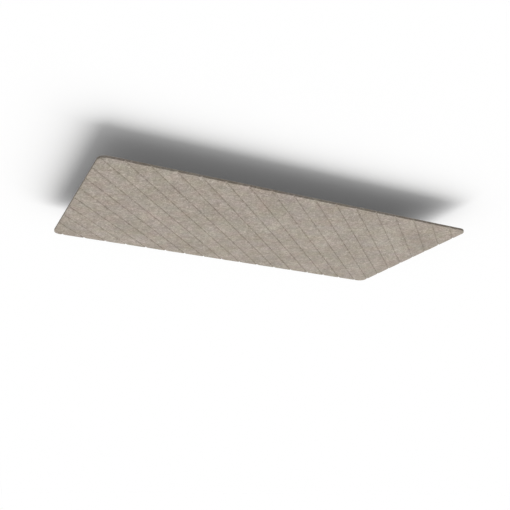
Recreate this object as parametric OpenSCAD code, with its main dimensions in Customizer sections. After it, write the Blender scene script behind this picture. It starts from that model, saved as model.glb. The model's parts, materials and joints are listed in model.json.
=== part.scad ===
// Suspended ceiling tile: a flat panel of pressed felt that hangs level a little way below a ceiling.
// The underside, which is the face that shows, is scored with straight V-grooves that cross it at an
// angle and run off its edges. Four flanged sockets are bonded to the back, each threaded for a hanger.
// The origin is the centre of the grooved face: +X along the tile, +Y across it, +Z up to the ceiling.

/* [Tile] */
// Length of the tile
tile_length = 1200; // [600:10:2400]
// Width of the tile
tile_width = 600; // [400:10:1500]
// Thickness of the felt
felt_thickness = 7; // [4:0.5:25]
// Radius of the tile's corners in plan
corner_radius = 25; // [5:1:120]

/* [Grooves] */
// Distance from one groove to the next, square to the grooves
groove_pitch = 50; // [15:1:200]
// Angle of the grooves to the length of the tile
groove_angle = 45; // [10:5:80]
// Width of a groove at the face
groove_width = 4.5; // [1.5:0.1:12]
// Depth of a groove
groove_depth = 3; // [0.5:0.1:3.5]
// Distance from the tile's centre to the groove that sets the pattern, square to the grooves
groove_offset = 14; // [-25:1:25]

/* [Hanger sockets] */
// Distance from each short edge of the tile to the sockets' centres
socket_end_inset = 150; // [40:5:270]
// Distance from each long edge of the tile to the sockets' centres
socket_side_inset = 150; // [40:5:170]
// Diameter of a socket's flange
flange_diameter = 38; // [26:1:60]
// Thickness of a socket's flange
flange_thickness = 1.5; // [0.8:0.1:4]
// Height of a socket's collar above its flange
collar_height = 9; // [3:0.5:25]
// Thickness of the collar's wall round the thread
collar_wall = 2.5; // [1:0.1:4]
// Core diameter of the socket's thread, 5 mm for M6
thread_core = 5; // [2.5:0.1:8.5]
// Width of the chamfer at the mouth of the thread
thread_lead_in = 0.8; // [0.2:0.1:0.9]
// Number of holes round the flange that key it into the adhesive
key_hole_count = 8; // [3:1:10]
// Diameter of a key hole
key_hole_diameter = 4; // [1.5:0.1:5]

/* [Hidden] */
$fn = 96;

// How far a cutter runs past the face that it cuts
overcut = 1;

// The tile's half extent square to the grooves, to its rounded corners
groove_span = (tile_length / 2 - corner_radius) * sin(groove_angle)
    + (tile_width / 2 - corner_radius) * cos(groove_angle)
    + corner_radius;

// The first and last groove whose whole width lies on the tile
first_groove = ceil((groove_width / 2 - groove_span - groove_offset) / groove_pitch);
last_groove = floor((groove_span - groove_width / 2 - groove_offset) / groove_pitch);

// A cutter this long crosses the tile from corner to corner
groove_length = norm([tile_length, tile_width]) + 2 * overcut;

socket_x = tile_length / 2 - socket_end_inset;
socket_y = tile_width / 2 - socket_side_inset;
collar_diameter = thread_core + 2 * collar_wall;
socket_height = flange_thickness + collar_height;

// The key holes run in a ring midway between the collar and the flange's rim
key_ring_radius = (collar_diameter + flange_diameter) / 4;

// Plan of the tile: a rectangle with round corners
module tile_plan() {
    square([tile_length - 2 * corner_radius, tile_width], center = true);
    square([tile_length, tile_width - 2 * corner_radius], center = true);
    for (x = [-1, 1], y = [-1, 1])
        translate([x * (tile_length / 2 - corner_radius), y * (tile_width / 2 - corner_radius)])
            circle(r = corner_radius);
}

// Section of a groove, with its walls carried on past the face
module groove_section() {
    mouth = groove_width / 2 * (1 + overcut / groove_depth);
    polygon([[-mouth, -overcut], [mouth, -overcut], [0, groove_depth]]);
}

// All the cuts of the grooved face, lying along their own direction
module grooves() {
    rotate([0, 0, groove_angle])
        for (i = [first_groove : last_groove])
            translate([0, groove_offset + i * groove_pitch, 0])
                rotate([90, 0, 90])
                    linear_extrude(groove_length, center = true)
                        groove_section();
}

// The panel: one sheet of felt, scored on its underside
module felt_tile() {
    color("#A59C91")
        difference() {
            linear_extrude(felt_thickness)
                tile_plan();
            grooves();
        }
}

// Half section of a socket's flange and collar, turned about the thread's axis
module socket_section() {
    bore = thread_core / 2;
    polygon([
        [bore, 0],
        [flange_diameter / 2, 0],
        [flange_diameter / 2, flange_thickness],
        [collar_diameter / 2, flange_thickness],
        [collar_diameter / 2, socket_height],
        [bore + thread_lead_in, socket_height],
        [bore, socket_height - thread_lead_in]
    ]);
}

// One socket, standing on its flange
module hanger_socket() {
    difference() {
        rotate_extrude()
            socket_section();
        for (i = [0 : key_hole_count - 1])
            rotate([0, 0, i * 360 / key_hole_count])
                translate([key_ring_radius, 0, -overcut])
                    cylinder(d = key_hole_diameter, h = flange_thickness + 2 * overcut);
    }
}

// The four sockets, seated on the tile's back
module hanger_sockets() {
    color("silver")
        for (x = [-1, 1], y = [-1, 1])
            translate([x * socket_x, y * socket_y, felt_thickness])
                hanger_socket();
}

felt_tile();
hanger_sockets();
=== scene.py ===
# %% [markdown]
# # A felt ceiling tile
#
# This lesson dresses one object: a flat tile of grey-beige felt that hangs face down, a hand's breadth
# below a white ceiling. Its solids come from a CAD model, which is loaded first and never moved.
# Everything after that is about how the tile looks: the soft edges and scored lines of the felt, the
# mixed fibres in its surface, the plated sockets on its back, and the light that it hangs in.

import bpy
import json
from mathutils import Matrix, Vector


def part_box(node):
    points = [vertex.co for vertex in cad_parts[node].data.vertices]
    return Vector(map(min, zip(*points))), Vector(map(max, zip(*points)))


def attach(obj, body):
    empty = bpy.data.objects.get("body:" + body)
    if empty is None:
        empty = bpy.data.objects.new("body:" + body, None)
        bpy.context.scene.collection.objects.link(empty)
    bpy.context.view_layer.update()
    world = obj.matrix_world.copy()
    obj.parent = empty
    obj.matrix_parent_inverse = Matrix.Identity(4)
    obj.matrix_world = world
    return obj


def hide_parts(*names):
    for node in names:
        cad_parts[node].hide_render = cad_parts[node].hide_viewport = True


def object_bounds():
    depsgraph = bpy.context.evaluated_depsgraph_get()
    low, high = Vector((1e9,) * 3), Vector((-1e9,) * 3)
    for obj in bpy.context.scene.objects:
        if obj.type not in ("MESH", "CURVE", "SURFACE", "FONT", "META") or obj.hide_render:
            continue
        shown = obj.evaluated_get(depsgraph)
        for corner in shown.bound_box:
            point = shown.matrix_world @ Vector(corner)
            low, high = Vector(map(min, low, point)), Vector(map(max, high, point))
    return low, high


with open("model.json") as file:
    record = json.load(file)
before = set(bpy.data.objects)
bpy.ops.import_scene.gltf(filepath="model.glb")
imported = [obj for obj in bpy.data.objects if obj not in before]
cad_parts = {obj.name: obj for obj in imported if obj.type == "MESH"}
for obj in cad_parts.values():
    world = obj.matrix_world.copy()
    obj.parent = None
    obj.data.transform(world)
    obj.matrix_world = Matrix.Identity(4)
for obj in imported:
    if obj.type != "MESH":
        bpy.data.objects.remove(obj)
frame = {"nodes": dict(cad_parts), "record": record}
cad_low, cad_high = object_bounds()
print("CAD box in metres:", tuple(cad_low), tuple(cad_high))

# %% [markdown]
# ## Helpers
#
# Blender works in metres and in linear light, but people think in millimetres and in the hex colours
# of a paint card. One factor and one function make the two changes. Another helper adds a shader node,
# sets its values and links its inputs in a single call, so that a material reads as a list of steps.
# Most inputs go by name. A Mix node has several called A and B, so its colour ones go by number.

# %% Units, colours and shader nodes
import json
import math
import bmesh
import bpy
import numpy as np
from mathutils import Vector, noise

MM = 0.001
MIX_A, MIX_B, MIX_RESULT = 6, 7, 2


def linear(hex_colour):
    """An sRGB hex colour, such as #A59C91, as linear red, green, blue and alpha."""
    channels = [int(hex_colour[i:i + 2], 16) / 255 for i in (1, 3, 5)]
    return [c / 12.92 if c <= 0.04045 else ((c + 0.055) / 1.055) ** 2.4 for c in channels] + [1.0]


def add_node(tree, kind, inputs=None, **settings):
    """Adds a node. Settings are its own properties; each input is a value, or the socket to link."""
    made = tree.nodes.new(kind)
    for name, value in settings.items():
        setattr(made, name, value)
    for name, value in (inputs or {}).items():
        if isinstance(value, bpy.types.NodeSocket):
            tree.links.new(value, made.inputs[name])
        else:
            made.inputs[name].default_value = value
    return made


def new_material(name):
    """An empty node material and its tree."""
    material = bpy.data.materials.new(name)
    material.use_nodes = True
    material.node_tree.nodes.clear()
    return material, material.node_tree


print("felt grey-beige in linear light:", [round(c, 3) for c in linear("#A59C91")])

# %% [markdown]
# ## The camera
#
# The tile is seen from below and to one side, as by someone who looks up at a ceiling. A camera is
# easiest to place by where it stands, which way it faces and how far it is tipped up. Those three came
# from the tile itself: its two pairs of parallel edges fix the view once its size is known. A 50 mm lens
# on a 36 mm sensor fits the spread of the edges, so no shift or crop is needed.

# %% Stand below the tile and look up
camera_data = bpy.data.cameras.new("camera")
camera_data.lens = 50
camera_data.sensor_width = 36
camera = bpy.data.objects.new("camera", camera_data)
bpy.context.scene.collection.objects.link(camera)
bpy.context.scene.camera = camera

camera_stand = Vector((-948.3, -1917.4, -830.1)) * MM
camera_heading = math.radians(25.945)
camera_pitch = math.radians(19.376)
camera.location = camera_stand
camera.rotation_euler = (math.radians(90) + camera_pitch, 0, -camera_heading)
print("camera stands", round(camera_stand.length, 3), "m from the middle of the tile's face")

# %% [markdown]
# ## Measuring the felt
#
# The felt tile is cut from one pressed sheet, and its face is scored with a V-shaped knife at 45 degrees
# to its length. The CAD solid already holds the true sizes, so they are read from its vertices and not
# typed again: the box gives length, width and thickness, the last vertex on a straight edge gives the
# corner radius, and the deepest vertices of the cuts give every groove's line and depth.

# %% Read the tile's sizes from the CAD solid
half_length, half_width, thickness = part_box("felt_tile")[1]
felt_points = np.array([v.co for v in frame["nodes"]["felt_tile"].data.vertices])

TINY = 0.01 * MM
on_long_edge = felt_points[felt_points[:, 1] > half_width - TINY]
corner_radius = half_length - on_long_edge[:, 0].max()

groove_turn = math.radians(45)
along = np.array([math.cos(groove_turn), math.sin(groove_turn)])
across = np.array([-math.sin(groove_turn), math.cos(groove_turn)])

heights = felt_points[:, 2]
offsets = np.round(felt_points[:, :2] @ across / MM, 2) * MM
groove_depth = heights[heights < thickness - TINY].max()
groove_lines = np.unique(offsets[np.abs(heights - groove_depth) < TINY])
face_lines = np.unique(offsets[heights < TINY])
groove_half_width = np.median([np.abs(face_lines - line).min() for line in groove_lines])

print("tile", round(2 * half_length / MM, 1), "by", round(2 * half_width / MM, 1), "by",
      round(thickness / MM, 1), "mm, corner radius", round(corner_radius / MM, 2), "mm")
print(len(groove_lines), "grooves,", round(groove_depth / MM, 2), "mm deep and",
      round(2 * groove_half_width / MM, 2), "mm wide")

# %% [markdown]
# ## The felt's shape
#
# Knife-cut felt has no hard corners: its fibres spring back, so every edge is a little round, and the
# pressed face is not quite flat. The CAD solid has sharp edges and long flat faces, so a finer mesh
# takes its place. It could be the solid with a bevel on it, but a bevel on long thin triangles is
# ragged. So the mesh is laid out the way the tile is scored: in rows that follow the grooves. On a
# convex outline every row is one straight line between two ends, so rows with equally many points join
# into a clean sheet of quads, close together in the cuts and wide apart between them.

# %% Choose the rows
edge_round = 0.4 * MM
flat_x = half_length - edge_round
flat_y = half_width - edge_round
flat_radius = corner_radius - edge_round
core = np.array([flat_x - flat_radius, flat_y - flat_radius])
row_limit = core @ np.abs(across) + flat_radius

# Rows beside each groove, in shares of its half width: close together where the V bends.
cut_steps = np.array([0, 0.18, 0.5, 0.8, 1.0, 1.2, 1.6]) * groove_half_width
rows_between = 6
corner_rows = 10
half_corner = math.radians(45)
row_digits = 5  # in metres, so rows within 0.01 mm of each other become one

rows = []
for turn in np.linspace(0, half_corner, corner_rows):
    row = row_limit - flat_radius * (1 - math.cos(turn))
    rows += [-row, row]
for line in groove_lines:
    rows += list(line - cut_steps) + list(line + cut_steps)
strip_edges = np.concatenate([[-row_limit], groove_lines, [row_limit]])
for first, last in zip(strip_edges[:-1], strip_edges[1:]):
    rows += list(np.linspace(first, last, rows_between + 2)[1:-1])
rows = np.unique(np.round(np.clip(rows, -row_limit, row_limit), row_digits))
print(len(rows), "rows, from", round(rows[0] / MM, 1), "to", round(rows[-1] / MM, 1), "mm")

# %% [markdown]
# A row starts and ends where its line crosses the outline. A rounded rectangle is the sum of two plain
# rectangles and four discs, and all of them overlap, so the row's ends are simply the farthest crossings.
# The first and last rows only touch the outline, so they are measured a hair inside it and then shrunk to
# a point.

# %% Find where each row meets the outline
def row_ends(offset):
    """Where the line at this offset enters and leaves the flat of the face, measured along the grooves."""
    spans = []
    for box_x, box_y in ((core[0], flat_y), (flat_x, core[1])):
        low_x, high_x = ((side * box_x - offset * across[0]) / along[0] for side in (-1, 1))
        low_y, high_y = ((side * box_y - offset * across[1]) / along[1] for side in (-1, 1))
        spans.append((max(low_x, low_y), min(high_x, high_y)))
    for side_x in (-1, 1):
        for side_y in (-1, 1):
            centre = core * (side_x, side_y)
            reach = flat_radius ** 2 - (offset - centre @ across) ** 2
            if reach >= 0:
                spans.append((centre @ along - math.sqrt(reach), centre @ along + math.sqrt(reach)))
    spans = [span for span in spans if span[0] <= span[1]]
    return min(span[0] for span in spans), max(span[1] for span in spans)


hair = 0.0001 * MM
inner_limit = rows[-1] - hair
ends = np.array([row_ends(row) for row in np.clip(rows, -inner_limit, inner_limit)])
ends[[0, -1]] = ends[[0, -1]].mean(axis=1)[:, None]
print("longest row", round((ends[:, 1] - ends[:, 0]).max() / MM, 1), "mm")

# %% [markdown]
# The height of the face has two parts. The first is the groove, a V whose lips and root are rounded by
# one soft bend each. A knife that runs through tangled fibres never cuts quite evenly, so the V frays:
# its depth and width wander a little along the line. Each takes its noise from a plane of its own.

# %% Height of a groove
lip_round = 1.2 * MM
root_round = 0.3 * MM
fray_share = 0.3
fray_size = 25 * MM
DEPTH_PLANE, WIDTH_PLANE = 0, 9


def wander(*place):
    """Smooth noise from -1 to 1 at a place in space, counted in waves. It is the same in each run."""
    return noise.noise(Vector(place))


def groove_height(row, step):
    """How far a cut lifts the face at this row, this far along it."""
    nearest = np.abs(groove_lines - row).argmin()
    distance = abs(groove_lines[nearest] - row)
    depth = groove_depth * (1 + fray_share * wander(step / fray_size, nearest, DEPTH_PLANE))
    reach = groove_half_width * (1 + fray_share * wander(step / fray_size, nearest, WIDTH_PLANE))
    wall = depth * (1 - (math.hypot(distance, root_round) - root_round) / reach)
    return (wall + math.hypot(wall, lip_round)) / 2


middle = len(groove_lines) // 2
root_height = groove_height(groove_lines[middle], 0)
strip_height = groove_height(groove_lines[middle:middle + 2].mean(), 0)
print("height at a root", round(root_height / MM, 2), "mm, and midway to the next",
      round(strip_height / MM, 4), "mm")

# %% [markdown]
# The second part is the slight unevenness that the needles and the press leave in felt. Smooth noise about
# a tenth of a millimetre high draws it, on the face and on the plain back. With both heights known, each
# side of the tile is a grid of points, one row per line. The face has many columns, so that the fraying
# shows along the grooves, and the back needs few.

# %% Lay out the points of face and back
lump_height = 0.10 * MM
lump_size = 14 * MM
FACE_PLANE, BACK_PLANE = 0, 5
face_columns = 140
back_columns = 24


def sheet_points(columns, height_of):
    """A grid of points, one row per line and one column per step along it."""
    points = np.zeros((len(rows), columns + 1, 3))
    for i, row in enumerate(rows):
        steps = np.linspace(ends[i, 0], ends[i, 1], columns + 1)
        points[i, :, :2] = steps[:, None] * along + row * across
        points[i, :, 2] = [height_of(row, step) for step in steps]
    return points


def face_height(row, step):
    """The grooved face: cuts and lumps."""
    return groove_height(row, step) + lump_height * wander(row / lump_size, step / lump_size, FACE_PLANE)


def back_height(row, step):
    """The plain back: lumps alone, which never rise above the solid."""
    return thickness + lump_height * (wander(row / lump_size, step / lump_size, BACK_PLANE) - 1)


def rim_of(sheet):
    """The sheet's border points, once round: up one side and down the other."""
    return np.concatenate([sheet[:, -1], sheet[::-1, 0]])


face = sheet_points(face_columns, face_height)
back = sheet_points(back_columns, back_height)
face_rim, back_rim = rim_of(face), rim_of(back)
outward = (face_rim[:, :2] - np.clip(face_rim[:, :2], -core, core)) / flat_radius
print("points on the face", face[..., 0].size, "and round the rim", len(face_rim))

# %% [markdown]
# The rim joins the two sheets. It leaves the face in a quarter turn, climbs the cut edge and turns in
# again to the back. Each ring of the rim is the outline pushed outward along its own normal, so the edge
# stays evenly round on the straights, at the corners and in the notches where grooves run out. The rings
# of the cut edge also swell and sink a little, because the blade leaves cut fibres of uneven length.

# %% Rings of the rim
bend_turns = np.radians([30, 60, 90])
cut_rings = 3
cut_fuzz = 0.12 * MM
fuzz_size = 4 * MM

rings = []
for turn in bend_turns:
    rings.append((edge_round * math.sin(turn), face_rim[:, 2] + edge_round * (1 - math.cos(turn))))
for climb in np.linspace(0, 1, cut_rings + 2)[1:-1]:
    height = (1 - climb) * face_rim[:, 2] + climb * back_rim[:, 2]
    spots = np.column_stack([face_rim[:, :2], height]) / fuzz_size
    fuzz = np.array([cut_fuzz * (wander(*spot) - 1) for spot in spots])
    rings.append((edge_round + fuzz, height))
for turn in bend_turns[::-1]:
    rings.append((edge_round * math.sin(turn), back_rim[:, 2] - edge_round * (1 - math.cos(turn))))
print(len(rings), "rings of", len(face_rim), "points")

# %% [markdown]
# Now the sheets and rings become one mesh. Rows near the tile's two end corners are so short that their
# points fall together, so the mesh is welded, and what is left without area is dissolved. A count of
# edges that don't have two faces tells whether the skin is closed: it has to be nought. The mesh then
# rides on the tile's one body, and takes the place of the CAD node in the picture.

# %% Join the sheets into one closed mesh
weld_distance = 0.001 * MM
sharp_turn = math.radians(40)


def ring_quads(lower, upper):
    """Quads between two rings of equally many points."""
    return np.stack([lower, np.roll(lower, -1), np.roll(upper, -1), upper], -1)


def closed_piece(name, points, quads, node):
    """One closed mesh of welded quads that stands for a CAD node."""
    mesh = bpy.data.meshes.new(name)
    mesh.from_pydata(points.tolist(), [], quads.tolist())
    skin = bmesh.new()
    skin.from_mesh(mesh)
    bmesh.ops.remove_doubles(skin, verts=skin.verts, dist=weld_distance)
    bmesh.ops.dissolve_degenerate(skin, edges=skin.edges, dist=weld_distance)
    bmesh.ops.recalc_face_normals(skin, faces=skin.faces)
    open_edges = sum(not edge.is_manifold for edge in skin.edges)
    triangles = sum(len(polygon.verts) - 2 for polygon in skin.faces)
    skin.to_mesh(mesh)
    skin.free()
    mesh.shade_smooth()
    mesh.set_sharp_from_angle(angle=sharp_turn)
    piece = bpy.data.objects.new(name, mesh)
    bpy.context.scene.collection.objects.link(piece)
    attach(piece, "root")
    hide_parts(node)
    print(name + ":", triangles, "triangles,", open_edges, "open edges")
    return piece


felt_parts = [face.reshape(-1, 3)]
for push, height in rings:
    felt_parts.append(np.column_stack([face_rim[:, :2] + np.reshape(push, (-1, 1)) * outward, height]))
felt_parts.append(back.reshape(-1, 3))
starts = np.cumsum([0] + [len(part) for part in felt_parts])

face_ids = np.arange(starts[1]).reshape(len(rows), face_columns + 1)
back_ids = np.arange(starts[-2], starts[-1]).reshape(len(rows), back_columns + 1)
ring_ids = [np.arange(starts[i], starts[i + 1]) for i in range(1, len(rings) + 1)]
ring_ids = [rim_of(face_ids)] + ring_ids + [rim_of(back_ids)]

felt_quads = [ring_quads(lower, upper) for lower, upper in zip(ring_ids[:-1], ring_ids[1:])]
for ids in (face_ids, back_ids):
    felt_quads.append(np.stack([ids[:-1, :-1], ids[:-1, 1:], ids[1:, 1:], ids[1:, :-1]], -1).reshape(-1, 4))
felt_panel = closed_piece("felt_panel", np.concatenate(felt_parts), np.concatenate(felt_quads),
                          "felt_tile")

# %% [markdown]
# ## Needled polyester felt
#
# The felt is a web of crimped polyester fibres, tangled by barbed needles and pressed flat. The fibres
# are dyed before they are mixed, so pale, beige and brown strands lie together: a melange. The eye sees
# a matt, even grey-beige from a distance, and soft blots, pale tufts and small dark pits from nearby,
# with no shine at all. A picture of real felt could be wrapped round the tile, but noise in object space
# has no seams, runs on through the grooves and the cut edges, and keeps its size in millimetres.
#
# Each layer of the pattern is made of noise. Fibres lie all ways in the sheet, so three of the layers are
# drawn out along several directions, and wherever their strands cross, the paler one lies on top. A real
# fibre is about 0.05 mm thick, too fine to show. So the fluff is drawn 0.5 mm wide, the strands of the
# web are bundles 1 mm wide, and the wisps are loose, curled locks of fibre 3 mm wide. The lay is squeezed
# flat, because the press leaves thin layers that show at the cut edges.

# %% Layers of the felt's pattern
felt, tree = new_material("needled_polyester_felt")
place = add_node(tree, "ShaderNodeTexCoord").outputs["Object"]


def felt_layer(size, shift, stretch=1.0, turn=0.0, squeeze=1.0, **inputs):
    """Noise with blots of about this size. Stretch and turn draw them out along one direction of the sheet,
    squeeze thins them in height, and the shift keeps layers from lining up. More inputs go to the noise."""
    spot = add_node(tree, "ShaderNodeMapping",
                    {"Vector": place, "Location": (shift, -shift, shift), "Rotation": (0, 0, turn),
                     "Scale": (stretch, 1, 1 / squeeze)}, vector_type="TEXTURE")
    inputs = {name.title(): value for name, value in inputs.items()}
    inputs |= {"Vector": spot.outputs[0], "Scale": 1 / size}
    return add_node(tree, "ShaderNodeTexNoise", inputs).outputs[0]


def crossing(width, shift, stretch, turns, curl):
    """Strands of this width, drawn out along each of these turns in degrees. The palest one shows."""
    palest = 0.0
    for i, turn in enumerate(np.radians(turns)):
        strand = felt_layer(width, shift + i, stretch, turn, squeeze=2, detail=2.0, distortion=curl)
        palest = add_node(tree, "ShaderNodeMath", {0: palest, 1: strand}, operation="MAXIMUM").outputs[0]
    return palest


clouds = felt_layer(150 * MM, shift=0.0, detail=1.0)
blots = felt_layer(12 * MM, shift=1.3, detail=3.0, roughness=0.6, distortion=1.0)
lay = felt_layer(5 * MM, shift=2.7, squeeze=6, detail=2.0)
pits = felt_layer(7 * MM, shift=5.9, detail=1.0)
fluff = crossing(0.5 * MM, shift=21.3, stretch=10, turns=(5, 50, 95, 140), curl=1.0)
web = crossing(1 * MM, shift=7.7, stretch=10, turns=(12, 71, 128), curl=0.5)
wisps = crossing(3 * MM, shift=14.2, stretch=9, turns=(20, 65, 110, 155), curl=1.2)
dye_hues = felt_layer(40 * MM, shift=11.1, detail=2.0)
dye_depths = felt_layer(45 * MM, shift=12.4, detail=2.0)
print("felt pattern:", sum(node.type == "TEX_NOISE" for node in tree.nodes), "noises")

# %% [markdown]
# The layers are added up by weight, and the sum picks a colour from dark to pale. On top of that the palest
# wisps stand out as tufts, and small dark pits open where a noise of their own is strong. The strands of
# the web break up the edges of both. Last come the dyes. No two batches of fibre take up dye alike, so its
# hue and its depth drift in loose patches, each by its own noise: the hue by a few degrees, and the depth
# by a tenth or so.

# %% Mix the fibre colours
layer_weights = ((clouds, 0.16), (blots, 0.53), (lay, 0.38), (fluff, 0.5), (web, 0.35), (wisps, 0.45))
edge_fray = 0.5
total = 0.0
for layer, weight in layer_weights:
    sum_so_far = {0: layer, 1: weight, 2: total}
    total = add_node(tree, "ShaderNodeMath", sum_so_far, operation="MULTIPLY_ADD").outputs[0]
tone = add_node(tree, "ShaderNodeMapRange", {"Value": total, "From Min": 1.106, "From Max": 1.468})

melange = add_node(tree, "ShaderNodeValToRGB", {0: tone.outputs[0]})
ramp = melange.color_ramp
ramp.elements[0].color = linear("#887F75")
ramp.elements[1].color = linear("#C5BBB0")
ramp.elements.new(0.5).color = linear("#9F968B")

frayed_tufts = add_node(tree, "ShaderNodeMath", {0: web, 1: edge_fray, 2: wisps}, operation="MULTIPLY_ADD")
tuft_share = add_node(tree, "ShaderNodeMapRange", {"Value": frayed_tufts.outputs[0], "From Min": 1.01,
                                                   "From Max": 1.13, "To Max": 0.6})
tufted = add_node(tree, "ShaderNodeMix", {0: tuft_share.outputs[0], MIX_A: melange.outputs[0],
                                          MIX_B: linear("#DAD0C4")}, data_type="RGBA")
frayed_pits = add_node(tree, "ShaderNodeMath", {0: web, 1: -edge_fray, 2: pits}, operation="MULTIPLY_ADD")
pit_share = add_node(tree, "ShaderNodeMapRange", {"Value": frayed_pits.outputs[0], "From Min": 0.34,
                                                  "From Max": 0.50, "To Max": 0.4})
pitted = add_node(tree, "ShaderNodeMix", {0: pit_share.outputs[0], MIX_A: tufted.outputs[MIX_RESULT],
                                          MIX_B: linear("#6C6358")}, data_type="RGBA")

hue = add_node(tree, "ShaderNodeMapRange", {"Value": dye_hues, "To Min": 0.455, "To Max": 0.545})
strength = add_node(tree, "ShaderNodeMapRange", {"Value": dye_depths, "To Min": 0.75, "To Max": 1.35})
dyed = add_node(tree, "ShaderNodeHueSaturation",
                {"Hue": hue.outputs[0], "Saturation": strength.outputs[0],
                 "Color": pitted.outputs[MIX_RESULT]})
print("felt colour:", len(layer_weights), "weighted layers, tufts, pits and dyes")

# %% [markdown]
# At a cut edge the ends of the fibres show. The colour is darkened where the surface stands upright, on
# the cut edges: partly the darker look of the fibre ends, and partly painted shade, because upright
# faces get less of the light from below than the face does. The surface itself is as rough as can be,
# with the low gloss of polyester, a trace of sheen from the fuzz, and a shallow bump from the web.

# %% Felt surface
surface = add_node(tree, "ShaderNodeNewGeometry")
facing = add_node(tree, "ShaderNodeSeparateXYZ", {0: surface.outputs["Normal"]})
level = add_node(tree, "ShaderNodeMath", {0: facing.outputs["Z"]}, operation="ABSOLUTE")
# Painted shade, partly fibre ends: upright faces, the cut edges, are mixed toward a dark grey-brown.
fibre_end_and_shade_share = add_node(tree, "ShaderNodeMapRange",
                     {"Value": level.outputs[0], "From Min": 0.35, "From Max": 0.1, "To Max": 0.28})
cut = add_node(tree, "ShaderNodeMix", {0: fibre_end_and_shade_share.outputs[0], MIX_A: dyed.outputs[0],
                                       MIX_B: linear("#4A453F")}, data_type="RGBA")
nap = add_node(tree, "ShaderNodeBump", {"Strength": 0.5, "Distance": 0.3 * MM, "Height": web})
shader = add_node(tree, "ShaderNodeBsdfPrincipled",
                  {"Base Color": cut.outputs[MIX_RESULT], "Roughness": 0.95, "IOR": 1.5,
                   "Specular IOR Level": 0.1, "Sheen Weight": 0.06, "Sheen Roughness": 0.5,
                   "Normal": nap.outputs[0]})
add_node(tree, "ShaderNodeOutputMaterial", {"Surface": shader.outputs[0]})
felt_panel.data.materials.append(felt)
print("felt material:", len(tree.nodes), "nodes")

# %% [markdown]
# ## The hanger sockets
#
# Four sockets are bonded to the back of the felt, and hangers screw into them. Each is a steel disc with
# a ring of punched holes, which key it into the adhesive, and a threaded collar welded to its middle. The
# CAD solid has the sizes, with plain edges and a plain hole for the thread, so it is measured first: the
# record gives the spacing and the thread's core, and the distance of each vertex from the axis of its
# socket gives the rest. The holes are counted by the gaps between them round the axis.

# %% Measure a socket
bolt_pattern = frame["record"]["mounts"][0]["dims"]
socket_centre = np.array([bolt_pattern["spacing_x_mm"], bolt_pattern["spacing_y_mm"]]) / 2 * MM
thread_core = bolt_pattern["hole_r_mm"] * MM

socket_points = np.array([v.co for v in frame["nodes"]["hanger_sockets"].data.vertices])
from_axis = np.abs(socket_points[:, :2]) - socket_centre
radii = np.hypot(from_axis[:, 0], from_axis[:, 1])
socket_foot, socket_top = socket_points[:, 2].min(), socket_points[:, 2].max()
flange_radius = radii.max()
flange_top = socket_points[radii > flange_radius - TINY, 2].max()
at_mouth = socket_points[:, 2] > socket_top - TINY
collar_radius, mouth_radius = radii[at_mouth].max(), radii[at_mouth].min()
lead_in = mouth_radius - thread_core

on_keys = (radii > collar_radius + TINY) & (radii < flange_radius - TINY)
key_ring = (radii[on_keys].max() + radii[on_keys].min()) / 2
key_radius = (radii[on_keys].max() - radii[on_keys].min()) / 2
key_turns = np.sort(np.arctan2(from_axis[on_keys, 1], from_axis[on_keys, 0]))
key_gaps = np.diff(np.append(key_turns, key_turns[0] + 2 * math.pi))
key_count = int((key_gaps > math.asin(key_radius / key_ring)).sum())
print("flange", round(2 * flange_radius / MM, 2), "mm across, collar", round(2 * collar_radius / MM, 2),
      "mm,", key_count, "holes of", round(2 * key_radius / MM, 2), "mm")

# %% [markdown]
# Bevel and boolean modifiers could round the edges and cut the thread, but they leave ragged faces where
# a ring of holes meets a round rim. So the disc's points are laid out one by one. It is shared out into
# equal sectors with one hole each, and rings of points run from the sector's border in to the hole, over
# the edge that the punch has rounded, down through it and out again underneath.

# %% Lay out one sector of the flange
punch_round = 0.3 * MM
weld_fillet = 0.8 * MM
weld_radius = collar_radius + weld_fillet
half_sector = math.pi / key_count
foot_steps, rim_steps, side_steps = 6, 10, 4


def arc(radius, first, last, steps):
    """Points of an arc about the axis."""
    turns = np.linspace(first, last, steps + 1)
    return radius * np.column_stack([np.cos(turns), np.sin(turns)])


def sector_border(outer):
    """Border of one sector, once round: along the weld, out, back along the rim, and in."""
    foot = arc(weld_radius, -half_sector, half_sector, foot_steps)
    rim = arc(outer, half_sector, -half_sector, rim_steps)
    out = np.linspace(foot[-1], rim[0], side_steps + 1)[1:-1]
    back_in = np.linspace(rim[-1], foot[0], side_steps + 1)[1:-1]
    return np.concatenate([foot, out, rim, back_in])


def key_hole(border, radius):
    """Points of the key hole's circle that face the border's points."""
    towards = border - (key_ring, 0)
    return (key_ring, 0) + radius * towards / np.linalg.norm(towards, axis=1)[:, None]


def at_height(points, height):
    """Flat points lifted to one height."""
    return np.column_stack([points, np.full(len(points), height)])


top_border = sector_border(flange_radius - punch_round)
foot_border = sector_border(flange_radius)
sector = [at_height(top_border, flange_top)]
for turn in np.radians([0, 45, 90]):
    hole = key_hole(top_border, key_radius + punch_round * (1 - math.sin(turn)))
    sector.append(at_height(hole, flange_top - punch_round * (1 - math.cos(turn))))
sector.append(at_height(key_hole(foot_border, key_radius), socket_foot))
sector.append(at_height(foot_border, socket_foot))
print("sector:", len(sector), "rings of", len(top_border), "points")

# %% [markdown]
# The rim, the weld, the collar and the bore are all turned shapes, so each is a profile carried round the
# axis. The bore also has its thread: the profile's points in it move out by a V that climbs one pitch
# with every turn, which gives a true helix. A coarse M6 thread climbs 1 mm and is about 0.54 mm deep.

# %% Turned parts of a socket
thread_pitch = 1.0 * MM
thread_depth = 0.54 * MM
crest_share = 0.2
rings_a_pitch = 8
bend_points = 4
collar_round = 0.4 * MM
bore_top = socket_top - lead_in


def bend(radius, height, size, first, last):
    """Profile points of a round corner about a centre, from one angle to another in degrees."""
    turns = np.radians(np.linspace(first, last, bend_points))
    return [(radius + size * math.cos(turn), height + size * math.sin(turn)) for turn in turns]


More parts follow.
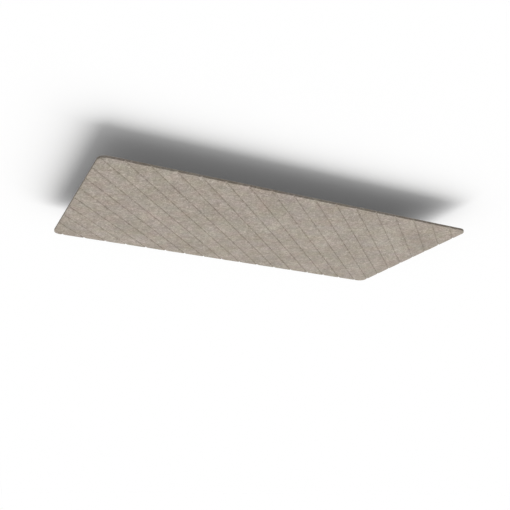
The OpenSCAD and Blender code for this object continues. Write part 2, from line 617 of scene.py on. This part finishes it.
def thread_cut(height, turn):
    """How far the thread is cut into the bore's wall, fading out at the mouth and the foot."""
    wave = (height / thread_pitch - turn / (2 * math.pi)) % 1
    flank = 1 - abs(2 * wave - 1) / (1 - crest_share)
    fade = min(bore_top - height, height - socket_foot, thread_pitch) / thread_pitch
    return thread_depth * max(flank, 0) * max(fade, 0)


def turned(profile, steps, cut=None):
    """Rings of a turned shape, one for each point of its profile."""
    turns = half_sector + np.arange(steps) / steps * 2 * math.pi
    made = []
    for radius, height in profile:
        reach = np.array([radius + (cut(height, turn) if cut else 0) for turn in turns])
        made.append(np.column_stack([reach * np.cos(turns), reach * np.sin(turns), np.full(steps, height)]))
    return made


rim_profile = bend(flange_radius - punch_round, flange_top - punch_round, punch_round, 90, 0)
rim_profile += [(flange_radius, socket_foot)]
collar_profile = bend(weld_radius, flange_top + weld_fillet, weld_fillet, 270, 180)
collar_profile += bend(collar_radius - collar_round, socket_top - collar_round, collar_round, 0, 90)
collar_profile += [(mouth_radius, socket_top), (thread_core, bore_top)]
thread_turns = (bore_top - socket_foot) / thread_pitch
bore_heights = np.linspace(bore_top, socket_foot, round(thread_turns * rings_a_pitch))
bore_profile = [(thread_core, height) for height in bore_heights]
foot_profile = [(thread_core, socket_foot), (weld_radius, socket_foot)]
print("thread:", round(thread_turns, 1), "turns in", len(bore_profile), "rings")

# %% [markdown]
# One socket is now a list of stacks, each a pile of rings that quads join. The sectors are turned round
# the axis, and the whole list is set down at the four places where the sockets sit.

# %% Build the four sockets
stacks = []
for i in range(key_count):
    turn = 2 * half_sector * i
    swing = np.array([[math.cos(turn), math.sin(turn), 0], [-math.sin(turn), math.cos(turn), 0], [0, 0, 1]])
    stacks.append([ring @ swing for ring in sector])
stacks.append(turned(rim_profile, rim_steps * key_count))
stacks.append(turned(collar_profile, foot_steps * key_count))
stacks.append(turned(bore_profile, foot_steps * key_count, thread_cut))
stacks.append(turned(foot_profile, foot_steps * key_count))

socket_parts = []
socket_quads = []
point_count = 0
for side_x in (-1, 1):
    for side_y in (-1, 1):
        seat = (side_x * socket_centre[0], side_y * socket_centre[1], 0)
        for stack in stacks:
            socket_parts.append(np.concatenate(stack) + seat)
            ids = point_count + np.arange(len(socket_parts[-1])).reshape(len(stack), -1)
            socket_quads += [ring_quads(lower, upper) for lower, upper in zip(ids[:-1], ids[1:])]
            point_count += ids.size
threaded_sockets = closed_piece("threaded_sockets", np.concatenate(socket_parts),
                                np.concatenate(socket_quads), "hanger_sockets")

# %% [markdown]
# ## Zinc-plated steel
#
# The sockets are pressed from steel sheet, welded, and then plated in a zinc bath. Fresh zinc plate is a
# pale, slightly blue metal. The eye sees a soft satin shine, a little cloudy where the bath worked
# faster, over a fine grit that the pickled steel leaves under the plate. One noise about as wide as those
# clouds sets both the colour and the roughness, because the thicker plate is the paler and smoother one.
# The real grit is finer than a tenth of a millimetre, and is drawn 0.6 mm wide so that it shows.

# %% Socket material
cloud_size = 6 * MM
grit_size = 0.6 * MM
zinc, tree = new_material("zinc_plated_steel")
place = add_node(tree, "ShaderNodeTexCoord").outputs["Object"]
cloudy = add_node(tree, "ShaderNodeTexNoise", {"Vector": place, "Scale": 1 / cloud_size, "Detail": 3.0})
grit = add_node(tree, "ShaderNodeTexNoise", {"Vector": place, "Scale": 1 / grit_size, "Detail": 2.0})
plate_share = add_node(tree, "ShaderNodeMapRange",
                       {"Value": cloudy.outputs[0], "From Min": 0.35, "From Max": 0.65})
plate = add_node(tree, "ShaderNodeMix", {0: plate_share.outputs[0], MIX_A: linear("#B9BABA"),
                                         MIX_B: linear("#CDD1D6")}, data_type="RGBA")
satin = add_node(tree, "ShaderNodeMapRange",
                 {"Value": plate_share.outputs[0], "To Min": 0.42, "To Max": 0.30})
pores = add_node(tree, "ShaderNodeBump",
                 {"Strength": 0.15, "Distance": 0.05 * MM, "Height": grit.outputs[0]})
shader = add_node(tree, "ShaderNodeBsdfPrincipled",
                  {"Base Color": plate.outputs[MIX_RESULT], "Metallic": 1.0, "Roughness": satin.outputs[0],
                   "Normal": pores.outputs[0]})
add_node(tree, "ShaderNodeOutputMaterial", {"Surface": shader.outputs[0]})
threaded_sockets.data.materials.append(zinc)
print("zinc material:", len(tree.nodes), "nodes")

# %% [markdown]
# ## The ceiling
#
# An object on a table needs a floor to throw its shadow on. This one hangs, so a white ceiling takes the
# floor's place, 88 mm above the face, where the reach of the shadow puts it. It is wide enough to fill
# the picture to the horizon. Its paint is pure matt white, and it is one-sided: seen from above it is
# clear, so the back of the tile can be looked at too. It throws no light and no shadow on the tile, which
# leaves the felt's colour to the lamps alone.

# %% Hang a white ceiling
ceiling_height = 88 * MM
ceiling_half = 60.0  # metres, far past the edges of the picture


def stage_board(name, half_x, half_y, height, material):
    """A flat board that faces down, kept off the object's body because it isn't part of the object."""
    corners = ((-half_x, -half_y), (-half_x, half_y), (half_x, half_y), (half_x, -half_y))
    mesh = bpy.data.meshes.new(name)
    mesh.from_pydata([(x, y, height) for x, y in corners], [], [(0, 1, 2, 3)])
    mesh.materials.append(material)
    board = bpy.data.objects.new(name, mesh)
    bpy.context.scene.collection.objects.link(board)
    return board


paint, tree = new_material("matt_white_ceiling_paint")
white = add_node(tree, "ShaderNodeBsdfDiffuse", {"Color": linear("#FFFFFF")})
clear = add_node(tree, "ShaderNodeBsdfTransparent")
side = add_node(tree, "ShaderNodeNewGeometry")
one_sided = add_node(tree, "ShaderNodeMixShader",
                     {0: side.outputs["Backfacing"], 1: white.outputs[0], 2: clear.outputs[0]})
add_node(tree, "ShaderNodeOutputMaterial", {"Surface": one_sided.outputs[0]})

ceiling = stage_board("ceiling", ceiling_half, ceiling_half, ceiling_height, paint)
ceiling.visible_diffuse = False
ceiling.visible_glossy = False
ceiling.visible_shadow = False
print("ceiling hangs", round((ceiling_height - cad_high[2]) / MM, 1), "mm above the sockets")

# %% [markdown]
# ## A dark board over the back
#
# The back of the tile gets a lamp of its own further on, for views from above. Light from that lamp would
# bounce off the back, up to the ceiling, and wash out the shadow. Photographers keep stray light off with
# a dark board, and so does this scene: a board as large as the tile lies just over the sockets. Only
# bounced light meets it. The camera, the lamps and the metal's reflections pass through.

# %% Lay a dark board over the back
board_gap = 3 * MM
card, tree = new_material("dark_grey_card")
dark_grey = add_node(tree, "ShaderNodeBsdfDiffuse", {"Color": linear("#4E4E4E")})
add_node(tree, "ShaderNodeOutputMaterial", {"Surface": dark_grey.outputs[0]})

board = stage_board("dark_board", half_length, half_width, cad_high[2] + board_gap, card)
board.visible_camera = False
board.visible_glossy = False
board.visible_transmission = False
board.visible_shadow = False
print("dark board", round((cad_high[2] + board_gap) / MM, 1), "mm above the face")

# %% [markdown]
# ## Light
#
# The room gives an even light from all round, and a wide, soft key light comes up from below. The
# shadow on the ceiling tells all about that key: it is shifted to the near left, so the light travels
# that way, and its edge is very soft, so the light is very wide, like a large window. A sun lamp with a
# wide angle does this without a lamp to place. The shares of key and room light add up to one, so that
# a colour that faces down renders as it is written.
#
# The background is white for the camera, for reflections and for what shines through, while everything
# else is lit by the dimmer room. A second sun lights the back of the tile from straight above. The metal
# there already mirrors the white background, so that sun is kept out of its reflections: with both, the
# sockets would clip to plain white.

# %% World and suns
room_share = 0.475
key_share = 1 - room_share
world = bpy.data.worlds.new("even_room_light")
world.use_nodes = True
bpy.context.scene.world = world
tree = world.node_tree
tree.nodes.clear()
rays = add_node(tree, "ShaderNodeLightPath")
seen = 0.0
for ray in ("Is Camera Ray", "Is Glossy Ray", "Is Transmission Ray"):
    seen = add_node(tree, "ShaderNodeMath", {0: seen, 1: rays.outputs[ray]}, operation="MAXIMUM").outputs[0]
glow = add_node(tree, "ShaderNodeMapRange", {"Value": seen, "To Min": room_share, "To Max": 1.0})
sky = add_node(tree, "ShaderNodeBackground", {"Color": linear("#FFFFFF"), "Strength": glow.outputs[0]})
add_node(tree, "ShaderNodeOutputWorld", {"Surface": sky.outputs[0]})


def add_sun(name, travel, share, spread):
    """A sun whose light travels this way; with a share of 1 it shows a level colour as it is written."""
    lamp = bpy.data.lights.new(name, "SUN")
    lamp.energy = share * math.pi * Vector(travel).length / abs(travel[2])
    lamp.angle = math.radians(spread)
    sun = bpy.data.objects.new(name, lamp)
    sun.rotation_mode = "QUATERNION"
    sun.rotation_quaternion = Vector(travel).to_track_quat("-Z", "Y")
    bpy.context.scene.collection.objects.link(sun)
    return sun


key_travel = (-54, -61, 89)
add_sun("key_from_below", key_travel, key_share, spread=66)
top_light = add_sun("top_light", (0, 0, -1), share=1.0, spread=40)
top_light.visible_glossy = False
print("light on the face:", round(room_share + key_share, 3))

# %% [markdown]
# ## Finish
#
# The Standard view shows colours as they are written, with no film look over them. The felt's soft edges
# stay inside the CAD solid's box, apart from its lumps.

# %% Finish
bpy.context.scene.view_settings.view_transform = "Standard"
